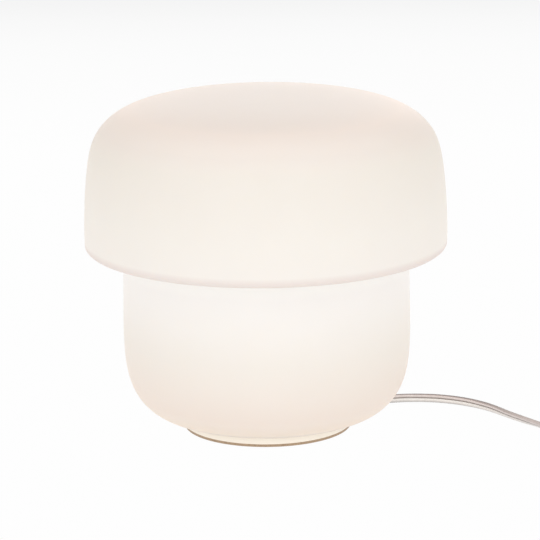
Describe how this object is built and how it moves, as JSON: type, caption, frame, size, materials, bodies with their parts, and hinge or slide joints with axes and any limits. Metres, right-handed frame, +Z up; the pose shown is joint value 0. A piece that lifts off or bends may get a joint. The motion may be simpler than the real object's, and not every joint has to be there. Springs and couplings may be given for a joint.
{
  "type": "mushroom table lamp",
  "caption": "Mushroom table lamp of white opal glass: an open pot on a small enamelled foot with a wide lift-off cap resting on it, a screw-in bulb, and a flat flex with switch and plug.",
  "frame": {"origin": "middle of the foot's underside, on the table", "axes": "+Z up along the lamp's axis of symmetry, +Y to the back, +X to the right, where the flex leaves"},
  "size_m": [0.4071, 0.3083, 0.2221],
  "materials": {
    "opal_glass": "white opal glass, satin",
    "silicone": "translucent silicone",
    "cream_enamel": "cream stove enamel, semi-gloss",
    "tan_felt": "pressed wool felt",
    "zinc_steel": "zinc plated",
    "white_steel": "white powder coat",
    "brass": "machined brass",
    "porcelain": "glazed porcelain",
    "white_plastic": "moulded, fine texture",
    "saddle_plastic": "moulded nylon",
    "clear_flex": "clear vinyl over tinned wire",
    "clear_vinyl": "clear soft vinyl",
    "brown_wire": "wire insulation",
    "blue_wire": "wire insulation",
    "bulb_opal": "frosted bulb glass",
    "stem_glass": "clear glass",
    "filament": "phosphor coated",
    "nickel": "nickel plated",
    "black_glass": "black vitreous insulator",
    "tin": "solder",
    "switch_white": "moulded, smooth"
  },
  "bodies": {
    "base": {"lower_shade": "opal_glass", "rim_trim": "silicone", "felt_pad": "tan_felt", "foot_body": "cream_enamel", "bottom_plate": "zinc_steel", "bottom_plate_screws": "zinc_steel", "cord_clamp": "saddle_plastic", "cord_clamp_screws": "zinc_steel", "lower_gasket": "silicone", "upper_gasket": "silicone", "clamp_plate": "white_steel", "threaded_tube": "zinc_steel", "lower_nut": "zinc_steel", "tooth_washer": "zinc_steel", "upper_nut": "zinc_steel", "holder_cap": "white_plastic", "holder_skirt": "white_plastic", "holder_insert": "porcelain", "screw_shell": "brass", "centre_contact": "brass", "terminals": "brass", "terminal_screws": "zinc_steel", "live_wire": "brown_wire", "neutral_wire": "blue_wire", "inner_flex": "clear_flex", "cord_sleeve": "clear_vinyl", "lamp_cord": "clear_flex", "plug_cord": "clear_flex", "plug_tail": "clear_flex", "cord_coil": "clear_flex", "switch_base": "switch_white", "switch_cover": "switch_white", "switch_axle": "zinc_steel", "switch_screws": "zinc_steel", "switch_contacts": "brass", "switch_leads": "brown_wire", "plug_body": "white_plastic", "plug_pins": "nickel", "plug_sleeves": "white_plastic"},
    "shade": {"upper_shade": "opal_glass"},
    "bulb_tip": {"bulb_contact": "tin"},
    "bulb": {"bulb_insulator": "black_glass", "bulb_cap": "nickel", "bulb_globe": "bulb_opal", "bulb_stem": "stem_glass", "bulb_filaments": "filament", "filament_bridge": "nickel"},
    "rocker": {"switch_rocker": "switch_white"}
  },
  "joints": [
    {"name": "shade_lift", "type": "slide", "parent": "base", "child": "shade", "axis": [0, 0, 1], "range_m": [0, 0.11]},
    {"name": "bulb_rise", "type": "slide", "parent": "base", "child": "bulb_tip", "axis": [0, 0, 1], "range_m": [0, 0.0255]},
    {"name": "bulb_turn", "type": "hinge", "parent": "bulb_tip", "child": "bulb", "pos_m": [0, 0, 0.0476], "axis": [0, 0, 1], "range_deg": [0, 2520]},
    {"name": "switch_rock", "type": "hinge", "parent": "base", "child": "rocker", "pos_m": [0.1975, -0.092, 0.0105], "axis": [-1, 0, 0], "range_deg": [0, 16]}
  ],
  "couplings": [
    {"joint": "bulb_rise", "follows": "bulb_turn", "m_per_rad": 0.00057757}
  ]
}
